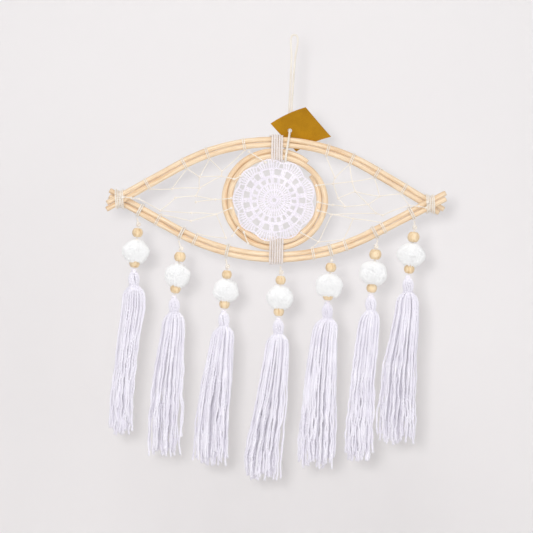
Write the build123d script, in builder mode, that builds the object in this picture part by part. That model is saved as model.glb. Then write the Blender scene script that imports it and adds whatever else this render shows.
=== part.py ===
from build123d import *
from math import asin, copysign, cos, degrees, radians, sin, sqrt, tan
from typing import NamedTuple
import os

# An eye-shaped dream catcher: bent canes lashed into an eye, a coiled iris ring with a crochet
# doily as its pupil, a knotted web, and seven strands of beads, pom-poms and tassels.
# Millimetres, +Z up, front towards -Y. The origin is where the hanging loop bears on its hook.

# ---- driving dimensions --------------------------------------------------------------------
CANE_DIAMETER = 5.2
PAIR_PITCH = 5.4             # the two canes of a pair lie side by side
RING_CANE_DIAMETER = 5.8
EYE_X = -19.4                # the middle of the line between the eye's two crossings
EYE_Z = -165.5
HALF_SPAN = 155.1            # from the middle to either crossing
EYE_TILT = 0.9               # degrees that the right-hand side hangs lower
PAIR_YAW = 1.1               # degrees that each pair turns, so that the pairs pass at the tips
CORD_DIAMETER = 2.2          # hanging cord and strand cords
HITCH_DIAMETER = 1.8
WEB_DIAMETER = 1.2           # where the web's cord goes round a pair
WEB_CORD_DIAMETER = 1.1
WEB_KNOT_RADIUS = 0.95
LASHING_DIAMETER = 2.3
TIP_LASHING_DIAMETER = 1.6
BODY_GAP = 0.3               # clearance between pieces that move apart
SNUG_GAP = 0.15              # clearance between pieces that stay together
RUN_SHARE = 0.45             # share of a run that a tangent arc may use

os.makedirs("parts", exist_ok=True)


def finish_piece(built, name):
    """Label a finished piece and write its STEP file."""
    built.part.label = name
    export_step(built.part, f"parts/{name}.step")


def from_eye(across, depth, height):
    """A point given from the eye's middle."""
    return Vector(EYE_X + across, depth, EYE_Z + height)


def bend_radii(points, closed=False):
    """The largest tangent arc that each corner of a route allows."""
    spots = [Vector(*point) for point in points]
    if closed:
        spots = [spots[-1]] + spots + [spots[0]]
    radii = []
    for before, corner, after in zip(spots, spots[1:], spots[2:]):
        first = corner - before
        second = after - corner
        half_turn = radians(first.get_angle(second)) / 2
        radii.append(RUN_SHARE * min(first.length, second.length) / tan(half_turn))
    return radii


def cord_tube(points, diameter):
    """A round cord along straight runs joined by tangent arcs."""
    radii = bend_radii(points)
    with BuildPart() as tube:
        with BuildLine():
            route = FilletPolyline(*points, radius=radii)
        with BuildSketch(Plane(origin=route @ 0, z_dir=route % 0)):
            Circle(diameter / 2)
        sweep(path=route)
    true_volume = route.length * 3.14159 * diameter**2 / 4
    print(f"cord {route.length:7.1f} long, tightest bend {min(radii):5.2f}, "
          f"volume ratio {tube.part.volume / true_volume:.3f}")
    return tube.part


def cord_loop(plane, points, radii, diameter):
    """A closed turn of cord in one plane."""
    with BuildPart() as turn:
        with BuildLine(plane):
            route = FilletPolyline(*points, radius=radii, close=True)
        with BuildSketch(Plane(origin=route @ 0, z_dir=route % 0)):
            Circle(diameter / 2)
        sweep(path=route)
    return turn.part


# ---- the four bent canes of the eye ----------------------------------------------------------
class Bow(NamedTuple):
    """A pair of canes that bows up or down between the crossings."""
    side: int                # +1 bows up, -1 bows down
    rise: float              # from the line of the crossings to the middle of the pair
    bend: float              # degrees that the straight ends lean
    yaw: float


upper_bow = Bow(side=1, rise=59.5, bend=30.0, yaw=PAIR_YAW)
lower_bow = Bow(side=-1, rise=55.5, bend=28.0, yaw=-PAIR_YAW)


def bow_plane(bow):
    """The plane of a pair: the eye's front plane, tilted and turned a little."""
    turn = radians(bow.yaw)
    return Plane(
        origin=(EYE_X, 0, EYE_Z),
        x_dir=(1, tan(turn), -tan(radians(EYE_TILT))),
        z_dir=(sin(turn), -cos(turn), 0),
    )


def bow_radius(bow):
    """Radius of the pair's middle arc, which leaves the crossings along straight ends."""
    lean = radians(bow.bend)
    return (HALF_SPAN * tan(lean) - bow.rise) * cos(lean) / (1 - cos(lean))


def bow_place(bow, across):
    """Where the pair's middle line is, its direction, and its outward side, as vectors."""
    lean_limit = radians(bow.bend)
    radius = bow_radius(bow)
    arc_reach = radius * sin(lean_limit)
    if abs(across) <= arc_reach:
        lean = asin(across / radius)
        drop = radius * (1 - cos(lean))
    else:
        lean = copysign(lean_limit, across)
        drop = radius * (1 - cos(lean_limit)) + (abs(across) - arc_reach) * tan(lean_limit)
    plane = bow_plane(bow)
    spot = plane.from_local_coords(Vector(across, bow.side * (bow.rise - drop)))
    along = plane.from_local_coords(Vector(cos(lean), -bow.side * sin(lean))) - plane.origin
    outward = plane.from_local_coords(Vector(sin(lean), bow.side * cos(lean))) - plane.origin
    return spot, along, outward


def bent_cane(bow, outset, left_tail, right_tail, name):
    """One cane of a pair: straight ends and a tangent arc. The tails run past the crossings."""
    lean = radians(bow.bend)
    radius = bow_radius(bow) + outset
    centre_height = bow.rise - bow_radius(bow)
    arc_x = radius * sin(lean)
    arc_y = centre_height + radius * cos(lean)
    straight = (HALF_SPAN - bow_radius(bow) * sin(lean)) / cos(lean)

    def past_crossing(sign, tail):
        run = straight + tail
        return sign * (arc_x + run * cos(lean)), bow.side * (arc_y - run * sin(lean))

    left_arc_end = (-arc_x, bow.side * arc_y)
    right_arc_end = (arc_x, bow.side * arc_y)
    with BuildPart() as cane:
        with BuildLine(bow_plane(bow)) as route:
            Line(past_crossing(-1, left_tail), left_arc_end)
            ThreePointArc(left_arc_end, (0, bow.side * (centre_height + radius)), right_arc_end)
            Line(right_arc_end, past_crossing(1, right_tail))
        with BuildSketch(Plane(origin=route.line @ 0, z_dir=route.line % 0)):
            Circle(CANE_DIAMETER / 2)
        sweep()
    finish_piece(cane, name)


bent_cane(upper_bow, PAIR_PITCH / 2, 13.0, 15.0, "upper_outer_cane")
bent_cane(upper_bow, -PAIR_PITCH / 2, 16.5, 12.5, "upper_inner_cane")
bent_cane(lower_bow, PAIR_PITCH / 2, 11.0, 16.0, "lower_outer_cane")
bent_cane(lower_bow, -PAIR_PITCH / 2, 13.5, 18.5, "lower_inner_cane")

# ---- iris ring: one cane coiled two turns, its ends tucked behind the change of turn ----------
RING_HEIGHT = 2.1            # the ring's centre above the eye's middle
RING_FLATTEN = 2.1           # the ring is this much lower than it is wide, on the radius
RING_OUTER = 50.9            # radius of the outer turn's route; its arcs run 0.4 inside this
RING_INNER = 45.3
RING_END = 44.8              # the inner end draws in a little as it tucks behind
RING_STEP = 15               # degrees between route points
RING_START = 50              # where the outer end lies, in degrees from +X
RING_TURN = 705              # degrees from end to end
ring_back = 2.7              # depth of the two tucked ends
ring_middle = 0.0            # depth of the outer turn
ring_front = -3.3            # depth where the coil changes turn


def blend_between(value, low, high, first, second):
    """Ease from first to second as value goes from low to high."""
    share = min(max((value - low) / (high - low), 0), 1)
    return first + (second - first) * share * share * (3 - 2 * share)


def ring_point(turned):
    """A point of the ring's centre line, by the degrees turned from its outer end."""
    radius = blend_between(turned, 300, 385, RING_OUTER, RING_INNER)
    radius = blend_between(turned, 560, 620, radius, RING_END)
    depth = blend_between(turned, 5, 70, ring_back, ring_middle)
    depth = blend_between(turned, 300, 350, depth, ring_front)
    depth = blend_between(turned, 395, 450, depth, ring_front + 0.6)
    depth = blend_between(turned, 600, 670, depth, ring_back)
    angle = radians(RING_START + turned)
    height = RING_HEIGHT + (radius - RING_FLATTEN) * sin(angle)
    return from_eye(radius * cos(angle), depth, height)


ring_route = [ring_point(turned) for turned in range(0, RING_TURN + 1, RING_STEP)]
ring_cane = cord_tube(ring_route, RING_CANE_DIAMETER)
with BuildPart() as iris_ring:
    add(ring_cane)
finish_piece(iris_ring, "iris_ring")

# ---- doily: a thin crochet disc with nine shells and two rings of eyelets ---------------------
DOILY_SHELLS = 9
DOILY_TIP_RADIUS = 41.0
DOILY_NOTCH_RADIUS = 37.4
DOILY_FIRST_TIP = 178.0      # degrees from +X
DOILY_FRONT = -6.9
DOILY_THICKNESS = 0.9
doily_centre = from_eye(-1.0, DOILY_FRONT + DOILY_THICKNESS, 1.0)
doily_plane = Plane(origin=doily_centre, x_dir=(1, 0, 0), z_dir=(0, -1, 0))


def polar(radius, angle):
    """A flat point by radius and degrees."""
    return radius * cos(radians(angle)), radius * sin(radians(angle))


with BuildPart() as doily:
    with BuildSketch(doily_plane):
        with BuildLine():
            half_shell = 180 / DOILY_SHELLS
            for shell in range(DOILY_SHELLS):
                tip = DOILY_FIRST_TIP - shell * 2 * half_shell
                ThreePointArc(
                    polar(DOILY_NOTCH_RADIUS, tip + half_shell),
                    polar(DOILY_TIP_RADIUS, tip),
                    polar(DOILY_NOTCH_RADIUS, tip - half_shell),
                )
        make_face()
        Circle(2.0, mode=Mode.SUBTRACT)
        with PolarLocations(19.5, 19):
            Circle(1.5, mode=Mode.SUBTRACT)
        with PolarLocations(28.5, 17):
            Circle(1.6, mode=Mode.SUBTRACT)
    extrude(amount=DOILY_THICKNESS)
    # the edge is tucked in where the two lashings and the hitch pass
    with BuildSketch(doily_plane):
        with Locations((4.0, 43.6), (2.9, -41.2)):
            Rectangle(16.0, 12.0)
    extrude(amount=DOILY_THICKNESS, mode=Mode.SUBTRACT)
finish_piece(doily, "doily")

# ---- lashings that bind the ring to the pairs, and the pairs to each other ---------------------
LASHING_PITCH = 2.4
LASHING_CORNER = 3.4


def lashing(first_across, turns, profile, name):
    """Side-by-side turns of cotton round a profile given as (depth, height) from the eye."""
    turns_of_cord = []
    for turn in range(turns):
        across = first_across + turn * LASHING_PITCH
        plane = Plane(origin=from_eye(across, 0, 0), x_dir=(0, 1, 0), z_dir=(1, 0, 0))
        turns_of_cord.append(cord_loop(plane, profile, LASHING_CORNER, LASHING_DIAMETER))
    with BuildPart() as winding:
        add(turns_of_cord)
    finish_piece(winding, name)


LASHING_FOOT = -62.2         # height of the bottom lashing's lowest cord centre
lashing(-3.35, 5, [(-3.4, 66.2), (4.0, 66.2), (6.9, 50.5), (0.1, 40.1), (-8.5, 40.1)],
        "top_lashing")
lashing(-4.2, 6, [(-3.3, LASHING_FOOT), (4.0, LASHING_FOOT), (5.4, -46.8), (0.4, -35.6),
                  (-8.2, -35.6)], "bottom_lashing")


def tip_lashing(side, name):
    """Upright turns round the crossing of the two pairs at one tip of the eye."""
    pitch = 1.8
    half_depth = 6.8
    turns_of_cord = []
    for step in (-1.5, -0.5, 0.5, 1.5):
        away = step * pitch
        half_height = 7.3 + abs(away) * tan(radians(upper_bow.bend))
        tilt_drop = -side * HALF_SPAN * sin(radians(EYE_TILT))
        middle = from_eye(side * HALF_SPAN + away, 0, tilt_drop)
        plane = Plane(origin=middle, x_dir=(0, 1, 0), z_dir=(1, 0, 0))
        corners = [(-half_depth, half_height), (half_depth, half_height),
                   (half_depth, -half_height), (-half_depth, -half_height)]
        turns_of_cord.append(cord_loop(plane, corners, 2.6, TIP_LASHING_DIAMETER))
    with BuildPart() as winding:
        add(turns_of_cord)
    finish_piece(winding, name)


tip_lashing(-1, "left_tip_lashing")
tip_lashing(1, "right_tip_lashing")


# ---- web: thin cord hitched round the pairs and knotted to itself ------------------------------
def pair_loop(bow, across, diameter):
    """A turn of cord round both canes of a pair."""
    spot, along, outward = bow_place(bow, across)
    bend = CANE_DIAMETER / 2 + SNUG_GAP + diameter / 2
    reach = PAIR_PITCH / 2 + bend
    plane = Plane(origin=spot, x_dir=outward, z_dir=along)
    corners = [(reach, bend), (-reach, bend), (-reach, -bend), (reach, -bend)]
    return cord_loop(plane, corners, bend * 0.97, diameter)


def loop_edge(bow, across, diameter, outwards):
    """The outer or inner end of the turn that pair_loop makes."""
    spot, along, outward = bow_place(bow, across)
    reach = PAIR_PITCH / 2 + CANE_DIAMETER / 2 + SNUG_GAP + diameter / 2
    return spot + outward * (reach * outwards)


def upper_start(across):
    """Where a web cord leaves its turn round the upper pair."""
    return loop_edge(upper_bow, across, WEB_DIAMETER, -1)


def lower_start(across):
    """Where a web cord leaves its turn round the lower pair."""
    return loop_edge(lower_bow, across, WEB_DIAMETER, -1)


def web_knot(across, height):
    """A knot out in the web, midway through the frame's depth."""
    return from_eye(across, -1.5, height)


def ring_knot(across, height):
    """A knot beside the ring, just ahead of its outer turn."""
    return from_eye(across, -4.6, height)


def over_ring(across, height):
    """A point where a web cord lies on the front of the ring."""
    return from_eye(across, -7.9, height)


def web_run(start, end):
    """A straight cord that begins and ends just short of two knots."""
    along = (end - start).normalized()
    clear = WEB_KNOT_RADIUS + 0.05
    with BuildPart() as run:
        with BuildSketch(Plane(origin=start + along * clear, z_dir=along)):
            Circle(WEB_CORD_DIAMETER / 2)
        extrude(amount=(end - start).length - 2 * clear)
    return run.part


def rounded(point):
    """A point as plain numbers, so that shared knots are found."""
    return tuple(round(value, 2) for value in point)


def web_ball(centre):
    """A small knot."""
    with BuildPart() as ball:
        with Locations(centre):
            Sphere(WEB_KNOT_RADIUS)
    return ball.part


def build_web(upper_turns, lower_turns, cords, name):
    """The turns round the pairs, the straight cords, and a small knot where cords meet."""
    loops = [pair_loop(upper_bow, across, WEB_DIAMETER) for across in upper_turns]
    loops += [pair_loop(lower_bow, across, WEB_DIAMETER) for across in lower_turns]
    runs = [web_run(start, end) for cord in cords for start, end in zip(cord, cord[1:])]
    starts = [upper_start(across) for across in upper_turns]
    starts += [lower_start(across) for across in lower_turns]
    starts = {rounded(start) for start in starts}
    knots = {rounded(point) for cord in cords for point in cord} - starts
    with BuildPart() as web:
        add(loops + runs + [web_ball(knot) for knot in sorted(knots)])
    finish_piece(web, name)


l1, l2, l3 = web_knot(-136, 2.5), web_knot(-114.6, -9.2), web_knot(-83.6, -11.5)
l4, l5, l6 = ring_knot(-58.5, -13.0), web_knot(-103, 12.5), web_knot(-75.5, 13.2)
l7, l8, l9 = web_knot(-75.5, 24.3), ring_knot(-53.6, 25.0), ring_knot(-53.0, 29.8)
l10, l11, l12 = web_knot(-99.6, 3.5), web_knot(-79, 5.5), ring_knot(-59.5, 1.7)
l13, l14, l15 = web_knot(-79, -0.5), web_knot(-84, -19.5), web_knot(-49.1, -36.5)
build_web(
    upper_turns=(-128, -91.5, -68.5, -32),
    lower_turns=(-117, -79.5),
    cords=(
        (from_eye(-150.5, -6.9, 4.2), from_eye(-143, -6.9, 3.2), l1, l2, l3, l4),
        (upper_start(-128), l5, l6, l8),
        (l2, l10, l11, l6),
        (l11, l12, over_ring(-43.6, 2.9)),
        (l13, l12),
        (upper_start(-91.5), l5),
        (upper_start(-91.5), l7, l8, over_ring(-40.5, 22.0), over_ring(-34.5, 24.5)),
        (upper_start(-68.5), l7, l6),
        (upper_start(-68.5), l9, l8),
        (upper_start(-32), l9),
        (lower_start(-117), l14, l4, over_ring(-43.6, -7.0)),
        (l4, l15, lower_start(-79.5)),
        (over_ring(-36.5, -26.5), over_ring(-42.6, -34.6)),
        (over_ring(-31.0, -31.0), over_ring(-26.8, -42.2)),
        (over_ring(-26.0, 49.0), over_ring(-9.5, 38.5)),
    ),
    name="left_web",
)

r1, r2, r3 = web_knot(60, 23.5), ring_knot(58, 17.5), web_knot(77, 19.8)
r4, r5, r6 = web_knot(80, 10.0), web_knot(63, 3.1), web_knot(70, -5.3)
r7, r8, r9 = web_knot(104.5, 5.2), web_knot(93, -3.0), web_knot(101, -11.9)
r10, r11, r12 = from_eye(133.5, -6.7, -4.3), ring_knot(56.4, -13.2), ring_knot(57.5, -3.8)
r13, r14, r15 = web_knot(78, -17.4), ring_knot(43.5, -40.5), web_knot(107.5, -13.8)
build_web(
    upper_turns=(52, 76.5, 102, 129),
    lower_turns=(39, 71, 108.5),
    cords=(
        (upper_start(52), r1, r2, r5, r6),
        (upper_start(76.5), r1),
        (over_ring(41, 15.5), r2, r3, upper_start(102)),
        (upper_start(76.5), r3, r4, r5),
        (r4, r7, upper_start(129)),
        (upper_start(102), r7, r8, r6, r12, over_ring(42.5, -0.9)),
        (r4, r8, r9, r15, r10, from_eye(143, -6.9, -5.2), from_eye(150.5, -6.9, -6.6)),
        (upper_start(129), r10),
        (r11, r9),
        (r11, r13, lower_start(108.5)),
        (r11, r14, over_ring(26, -31.5)),
        (r14, lower_start(71), r13),
        (r14, lower_start(39)),
        (over_ring(42.6, -9.5), r11),
    ),
    name="right_web",
)

# ---- hanging cord: one cord doubled over the hook, its two legs side by side -------------------
HANGER_KNOT_RADIUS = 2.2
HITCH_KNOT_RADIUS = 2.0
HOOK_ARC = 3.4               # half the width of the bend over the hook
LEG_OFFSET = 1.2             # each leg from the cord's middle line
hanger_knot_centre = Vector(-4.4, 2.0, -84.0)
hitch_knot_centre = Vector(-4.5, 3.3, -88.6)
cord_bottom = hanger_knot_centre + Vector(0, 0, 2.6)
hanging_route = [
    cord_bottom + Vector(-LEG_OFFSET, 0, 0),
    (-1.26 - LEG_OFFSET, 0.6, -24.0),
    (-3.6, 0.1, -9.0),
    (-HOOK_ARC, 0, CORD_DIAMETER / 2),
    (HOOK_ARC, 0, CORD_DIAMETER / 2),
    (3.4, 0.1, -9.0),
    (-1.26 + LEG_OFFSET, 0.6, -24.0),
    cord_bottom + Vector(LEG_OFFSET, 0, 0),
]
doubled_cord = cord_tube(hanging_route, CORD_DIAMETER)
with BuildPart() as hanging_cord:
    add(doubled_cord)
finish_piece(hanging_cord, "hanging_cord")

with BuildPart() as hanger_knot:
    with Locations(hanger_knot_centre):
        Sphere(HANGER_KNOT_RADIUS)
finish_piece(hanger_knot, "hanger_knot")

# the hitch: its front leg comes through the tag, and it passes under the ring and up the back
hitch_under = Vector(-9.35, 2.3, -123.9)
front_leg_route = [
    hitch_knot_centre, (-4.5, 3.9, -92.2), (-4.6, 1.3, -96.4), (-5.0, -2.6, -99.6),
    (-5.9, -4.8, -104.8), (-7.2, -7.9, -112.5), (-8.6, -8.4, -121.0), (-9.3, -5.4, -127.0),
    (-9.4, 0.0, -126.3), hitch_under,
]
back_leg_route = [
    hitch_under, (-9.3, 4.6, -121.5), (-9.2, 7.4, -114.0), (-9.0, 7.6, -104.0),
    (-7.5, 6.9, -96.5), (-5.4, 4.9, -91.4), hitch_knot_centre,
]
front_leg = cord_tube(front_leg_route, CORD_DIAMETER)
back_leg = cord_tube(back_leg_route, CORD_DIAMETER)
with BuildPart() as hanger_hitch:
    with Locations(hitch_knot_centre):
        Sphere(HITCH_KNOT_RADIUS)
    add(front_leg)
    add(back_leg)
finish_piece(hanger_hitch, "hanger_hitch")

# ---- card tag: a blank card that curls forward, threaded on the front leg ----------------------
TAG_THICKNESS = 0.5
TAG_CURL_RADIUS = 60.0
TAG_HOLE_RADIUS = 2.2
tag_left = Vector(-23.9, 0, -87.4)
tag_top = Vector(10.9, 0, -73.0)
tag_right = Vector(36.8, 0, -100.6)
tag_bottom = tag_left + tag_right - tag_top
tag_diagonal = (tag_right - tag_left).normalized()
# the curl's axis runs along the left-to-right diagonal, below and in front of the card
tag_up = Vector(-tag_diagonal.Z, 0, tag_diagonal.X)
curl_centre = tag_left + tag_up * -24.4 + Vector(0, -53.3, 0)
tag_hole = Vector(-4.5, 2.6, -94.3)
tag_hole_facing = Vector(curl_centre.X, curl_centre.Y, curl_centre.Z) - tag_hole
tag_hole_facing = tag_hole_facing - tag_diagonal * tag_hole_facing.dot(tag_diagonal)
curl_plane = Plane(origin=curl_centre - tag_diagonal * 10, x_dir=(0, 1, 0), z_dir=tag_diagonal)
front_plane = Plane(origin=(0, -30, 0), x_dir=(1, 0, 0), z_dir=(0, -1, 0))
edge_bulge = tag_up * 2.0


def flat(point):
    """A point on the front plane, as across and up."""
    return point.X, point.Z


with BuildPart() as hang_tag:
    with BuildSketch(curl_plane):
        Circle(TAG_CURL_RADIUS + TAG_THICKNESS / 2)
        Circle(TAG_CURL_RADIUS - TAG_THICKNESS / 2, mode=Mode.SUBTRACT)
    extrude(amount=(tag_right - tag_left).length + 20)
    with BuildSketch(front_plane):
        with BuildLine():
            ThreePointArc(flat(tag_left), flat((tag_left + tag_top) * 0.5 + edge_bulge),
                          flat(tag_top))
            Line(flat(tag_top), flat(tag_right))
            ThreePointArc(flat(tag_right), flat((tag_right + tag_bottom) * 0.5 + edge_bulge),
                          flat(tag_bottom))
            Line(flat(tag_bottom), flat(tag_left))
        make_face()
    extrude(amount=-60, mode=Mode.INTERSECT)
    with BuildSketch(Plane(origin=tag_hole, z_dir=tag_hole_facing)):
        Circle(TAG_HOLE_RADIUS)
    extrude(amount=6, both=True, mode=Mode.SUBTRACT)
finish_piece(hang_tag, "hang_tag")


# ---- the seven strands -----------------------------------------------------------------------
class Strand(NamedTuple):
    """One hanging strand. Drops are along its cord from the centre of its knot."""
    number: int
    hitch_across: float      # where it is hitched, from the eye's middle
    knot: tuple              # knot centre, across and height from the eye's middle
    knot_radius: float
    neck: tuple              # tassel neck, across and height from the eye's middle
    bead_drop: float
    bead_diameter: float
    pompom_drop: float
    lower_bead_drop: float
    tassel_length: float     # from the neck down to the ends of the yarns
    shoulder: float          # half width of the skirt near its top
    middle: float            # half width half way down
    hem: float               # half width near the ends
    deep: float              # half depth, front to back; the piece balances near its hook
    middle_lean: float       # how far left the skirt has drifted half way down
    hem_lean: float


strands = [
    Strand(1, -135.0, (-136.9, -22.7), 2.4, (-141.4, -69.7), 8.4, 10.7, 27.8, 39.2,
           160.0, 8.4, 9.4, 10.4, 6.2, -7.5, -12.0),
    Strand(2, -93.0, (-94.0, -47.0), 2.4, (-101.0, -96.2), 8.4, 11.5, 27.4, 40.7,
           154.0, 8.8, 12.4, 15.4, 7.6, -7.0, -9.7),
    Strand(3, -47.0, (-47.5, -65.0), 2.4, (-51.2, -110.5), 8.1, 9.9, 24.6, 37.7,
           149.5, 9.8, 15.6, 18.8, 9.4, -7.2, -11.5),
    Strand(4, 5.4, (6.1, -70.8), 2.4, (3.3, -118.0), 7.9, 10.2, 25.7, 39.3,
           156.0, 9.4, 14.2, 17.6, 9.8, -8.0, -15.5),
    Strand(5, 56.0, (56.5, -59.3), 1.6, (52.2, -102.0), 6.6, 10.8, 25.2, 35.2,
           160.5, 10.6, 14.8, 18.0, 10.4, -6.6, -9.0),
    Strand(6, 100.0, (101.0, -45.2), 2.4, (95.7, -94.5), 7.8, 12.0, 26.9, 41.6,
           160.0, 8.8, 10.4, 12.2, 9.6, -8.6, -12.0),
    Strand(7, 136.5, (139.5, -26.0), 2.4, (132.8, -76.0), 9.7, 12.0, 27.9, 41.9,
           161.5, 8.0, 14.2, 17.0, 11.4, -7.2, -10.0),
]

LASHED_STRAND = 4            # this one hangs from the bottom lashing instead of a hitch
NECK_RADIUS = 3.0
STUB_RADIUS = 1.0
BORE_RADIUS = 1.45
BEAD_HEIGHT_SHARE = 0.82     # beads are turned flat at both ends of the bore
LOWER_BEAD_DIAMETER = 10.5
POMPOM_RADIUS = 12.4
POMPOM_HALF_HEIGHT = 11.4
HEAD_DROP = 9.0              # the tassel's bound head, below the neck
HEAD_RADIUS = 5.4
SKIRT_DROP = 13.8            # where the skirt's yarns fold over
WAIST_RADIUS = 4.4           # where the head is bound off above the skirt
ROUND_SHARE = 0.9            # the narrow sections stay nearly round


def strand_depth(strand):
    """A strand hangs under the middle of the lower pair."""
    spot, along, outward = bow_place(lower_bow, strand.hitch_across)
    return spot.Y


def knot_centre(strand):
    """Centre of the strand's knot."""
    across, height = strand.knot
    return from_eye(across, strand_depth(strand), height)


def neck_centre(strand):
    """Centre of the ball at the top of the tassel."""
    across, height = strand.neck
    return from_eye(across, strand_depth(strand), height)


def stub_top(strand):
    """Centre of the knot's rounded upper end, which turns under the hitch or the lashing."""
    if strand.number == LASHED_STRAND:
        bottom = from_eye(strand.hitch_across, 0, LASHING_FOOT - LASHING_DIAMETER / 2)
    else:
        loop_bottom = loop_edge(lower_bow, strand.hitch_across, HITCH_DIAMETER, 1)
        bottom = loop_bottom - Vector(0, 0, HITCH_DIAMETER / 2)
    return bottom - Vector(0, 0, BODY_GAP + STUB_RADIUS)


def along_strand(strand, drop):
    """The plane across the strand's cord at a drop below its knot, facing down the cord."""
    top = knot_centre(strand)
    down = (neck_centre(strand) - top).normalized()
    return Plane(origin=top + down * drop, x_dir=(0, 1, 0), z_dir=down)


def build_knot(strand):
    """The knot under the hitch, with the short cord above it."""
    start = stub_top(strand)
    run = knot_centre(strand) - start
    with BuildPart() as knot:
        with BuildSketch(Plane(origin=start, z_dir=run)):
            Circle(STUB_RADIUS)
        extrude(amount=run.length)
        with Locations(start):
            Sphere(STUB_RADIUS)
        with Locations(knot_centre(strand)):
            Sphere(strand.knot_radius)
    finish_piece(knot, f"strand_knot_{strand.number}")


def build_cord(strand):
    """The straight cord that carries the beads, from the knot to the tassel's neck."""
    length = (neck_centre(strand) - knot_centre(strand)).length
    top = strand.knot_radius + BODY_GAP
    with BuildPart() as cord:
        with BuildSketch(along_strand(strand, top)):
            Circle(CORD_DIAMETER / 2)
        extrude(amount=length - top - NECK_RADIUS - BODY_GAP)
    finish_piece(cord, f"strand_cord_{strand.number}")


def build_bead(strand, drop, diameter, name):
    """A turned wooden bead: a ball with flat ends and a bore."""
    half_height = diameter * BEAD_HEIGHT_SHARE / 2
    across_cord = along_strand(strand, drop)
    with BuildPart() as bead:
        with BuildSketch(Plane(across_cord.origin, across_cord.x_dir, across_cord.y_dir)):
            with BuildLine():
                end_radius = sqrt((diameter / 2) ** 2 - half_height**2)
                ThreePointArc((end_radius, -half_height), (diameter / 2, 0),
                              (end_radius, half_height))
                Polyline((end_radius, half_height), (BORE_RADIUS, half_height),
                         (BORE_RADIUS, -half_height), (end_radius, -half_height))
            make_face()
        revolve(axis=Axis(across_cord.origin, across_cord.z_dir))
    finish_piece(bead, name)


def build_pompom(strand):
    """A pom-pom: a flattened ball that the lower bead sits up into."""
    across_cord = along_strand(strand, strand.pompom_drop)
    bead_below = along_strand(strand, strand.lower_bead_drop).origin
    with BuildPart() as pompom:
        with BuildSketch(Plane(across_cord.origin, across_cord.x_dir, across_cord.y_dir)):
            Ellipse(POMPOM_RADIUS, POMPOM_HALF_HEIGHT)
            with Locations((-POMPOM_RADIUS / 2, 0)):
                Rectangle(POMPOM_RADIUS, 3 * POMPOM_HALF_HEIGHT, mode=Mode.SUBTRACT)
        revolve(axis=Axis(across_cord.origin, across_cord.z_dir))
        with Locations(bead_below):
            Sphere(LOWER_BEAD_DIAMETER / 2 + BODY_GAP, mode=Mode.SUBTRACT)
        with BuildSketch(across_cord):
            Circle(BORE_RADIUS)
        extrude(amount=2 * POMPOM_HALF_HEIGHT, both=True, mode=Mode.SUBTRACT)
    finish_piece(pompom, f"pompom_{strand.number}")


def build_tassel(strand):
    """A tassel: neck ball, bound head, and the skirt of yarns, as one soft solid."""
    neck = neck_centre(strand)
    skirt_length = strand.tassel_length - SKIRT_DROP
    # drop below the neck, half width, drift to the left
    sections = [
        (1.0, NECK_RADIUS * 0.75, 0.0),
        (3.6, HEAD_RADIUS * 0.82, 0.0),
        (HEAD_DROP, HEAD_RADIUS, 0.0),
        (SKIRT_DROP, WAIST_RADIUS, 0.0),
    ]
    for share, half_width, lean in (
        (0.06, strand.shoulder * 0.92, strand.middle_lean * 0.08),
        (0.17, strand.shoulder, strand.middle_lean * 0.3),
        (0.5, strand.middle, strand.middle_lean),
        (0.85, strand.hem, strand.hem_lean),
        (1.0, strand.hem * 0.92, strand.hem_lean),
    ):
        sections.append((SKIRT_DROP + share * skirt_length, half_width, lean))
    with BuildPart() as tassel:
        for drop, half_width, lean in sections:
            half_depth = min(half_width * ROUND_SHARE, strand.deep)
            with BuildSketch(Plane(neck + Vector(lean, 0, -drop))):
                Ellipse(half_width, half_depth)
        loft(ruled=True)
        with Locations(neck):
            Sphere(NECK_RADIUS)
    finish_piece(tassel, f"tassel_{strand.number}")


hitch_turns = [
    pair_loop(lower_bow, strand.hitch_across, HITCH_DIAMETER)
    for strand in strands if strand.number != LASHED_STRAND
]
with BuildPart() as strand_hitches:
    add(hitch_turns)
finish_piece(strand_hitches, "strand_hitches")

for strand in strands:
    build_knot(strand)
    build_cord(strand)
    build_bead(strand, strand.bead_drop, strand.bead_diameter, f"upper_bead_{strand.number}")
    build_bead(strand, strand.lower_bead_drop, LOWER_BEAD_DIAMETER,
               f"lower_bead_{strand.number}")
    build_pompom(strand)
    build_tassel(strand)
    print(strand.number, "swing pivot", stub_top(strand), "knot", knot_centre(strand),
          "neck", neck_centre(strand))
print("tag hole", tag_hole, "facing", tag_hole_facing.normalized())
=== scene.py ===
import math

import bpy
import numpy as np
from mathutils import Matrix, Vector


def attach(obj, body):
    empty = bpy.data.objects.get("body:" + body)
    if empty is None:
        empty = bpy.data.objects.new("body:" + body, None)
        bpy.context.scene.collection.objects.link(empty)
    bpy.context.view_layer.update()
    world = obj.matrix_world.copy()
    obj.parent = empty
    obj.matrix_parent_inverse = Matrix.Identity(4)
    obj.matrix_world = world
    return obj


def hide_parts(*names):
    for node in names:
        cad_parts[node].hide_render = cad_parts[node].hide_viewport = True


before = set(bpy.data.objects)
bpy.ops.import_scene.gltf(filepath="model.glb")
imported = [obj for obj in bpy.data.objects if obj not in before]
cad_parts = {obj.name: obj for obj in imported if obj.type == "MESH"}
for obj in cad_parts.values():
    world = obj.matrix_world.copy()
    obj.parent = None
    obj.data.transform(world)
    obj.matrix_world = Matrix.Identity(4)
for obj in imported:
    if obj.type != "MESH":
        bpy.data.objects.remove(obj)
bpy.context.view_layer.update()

MM = 0.001
EYE = np.array((-19.4, 0.0, -165.5))      # the middle of the eye, in millimetres
UP = np.array((0.0, 0.0, 1.0))
GOLDEN_ANGLE = 2.399963                   # radians; it spreads points evenly over a disc or a ball

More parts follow.
